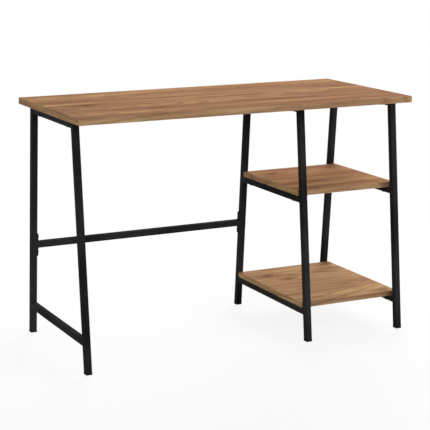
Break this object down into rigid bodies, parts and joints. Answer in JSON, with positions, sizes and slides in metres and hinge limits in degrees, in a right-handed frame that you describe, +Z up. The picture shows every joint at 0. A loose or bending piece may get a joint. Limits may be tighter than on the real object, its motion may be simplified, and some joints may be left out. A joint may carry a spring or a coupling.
{
  "type": "computer desk",
  "caption": "Compact computer desk: wood-grain top on splayed frames of black square tube, open knee space with a back stretcher, and open shelves between the frames at the right end.",
  "frame": {"origin": "on the floor, under the middle of the desk top", "axes": "+X along the desk to its shelf end, +Y to its back, +Z up"},
  "size_m": [1.067, 0.494, 0.724],
  "materials": {
    "wood_laminate": "satin oak-grain laminate",
    "edge_band": "satin oak-grain edge band",
    "powder_coat": "satin black powder coat",
    "cap_plastic": "matt black moulded plastic",
    "black_screw": "black-finished steel",
    "zinc_steel": "zinc-plated steel"
  },
  "bodies": {
    "root": {"back_stretcher": "powder_coat", "desk_top": "wood_laminate", "desk_top_back_band": "edge_band", "desk_top_front_band": "edge_band", "desk_top_inserts": "zinc_steel", "desk_top_left_band": "edge_band", "desk_top_right_band": "edge_band", "desk_top_screws": "black_screw", "left_frame_back_foot_cap": "cap_plastic", "left_frame_back_leg": "powder_coat", "left_frame_front_foot_cap": "cap_plastic", "left_frame_front_leg": "powder_coat", "left_frame_low_rail": "powder_coat", "left_frame_top_rail": "powder_coat", "lower_shelf": "wood_laminate", "lower_shelf_back_band": "edge_band", "lower_shelf_front_band": "edge_band", "lower_shelf_inserts": "zinc_steel", "lower_shelf_left_band": "edge_band", "lower_shelf_right_band": "edge_band", "lower_shelf_screws": "black_screw", "middle_frame_back_foot_cap": "cap_plastic", "middle_frame_back_leg": "powder_coat", "middle_frame_front_foot_cap": "cap_plastic", "middle_frame_front_leg": "powder_coat", "middle_frame_low_rail": "powder_coat", "middle_frame_mid_rail": "powder_coat", "middle_frame_top_rail": "powder_coat", "right_frame_back_foot_cap": "cap_plastic", "right_frame_back_leg": "powder_coat", "right_frame_front_foot_cap": "cap_plastic", "right_frame_front_leg": "powder_coat", "right_frame_low_rail": "powder_coat", "right_frame_mid_rail": "powder_coat", "right_frame_top_rail": "powder_coat", "stretcher_bolts": "black_screw", "stretcher_left_plate": "powder_coat", "stretcher_right_plate": "powder_coat", "stretcher_rivet_nuts": "zinc_steel", "upper_shelf": "wood_laminate", "upper_shelf_back_band": "edge_band", "upper_shelf_front_band": "edge_band", "upper_shelf_inserts": "zinc_steel", "upper_shelf_left_band": "edge_band", "upper_shelf_right_band": "edge_band", "upper_shelf_screws": "black_screw"}
  },
  "joints": []
}
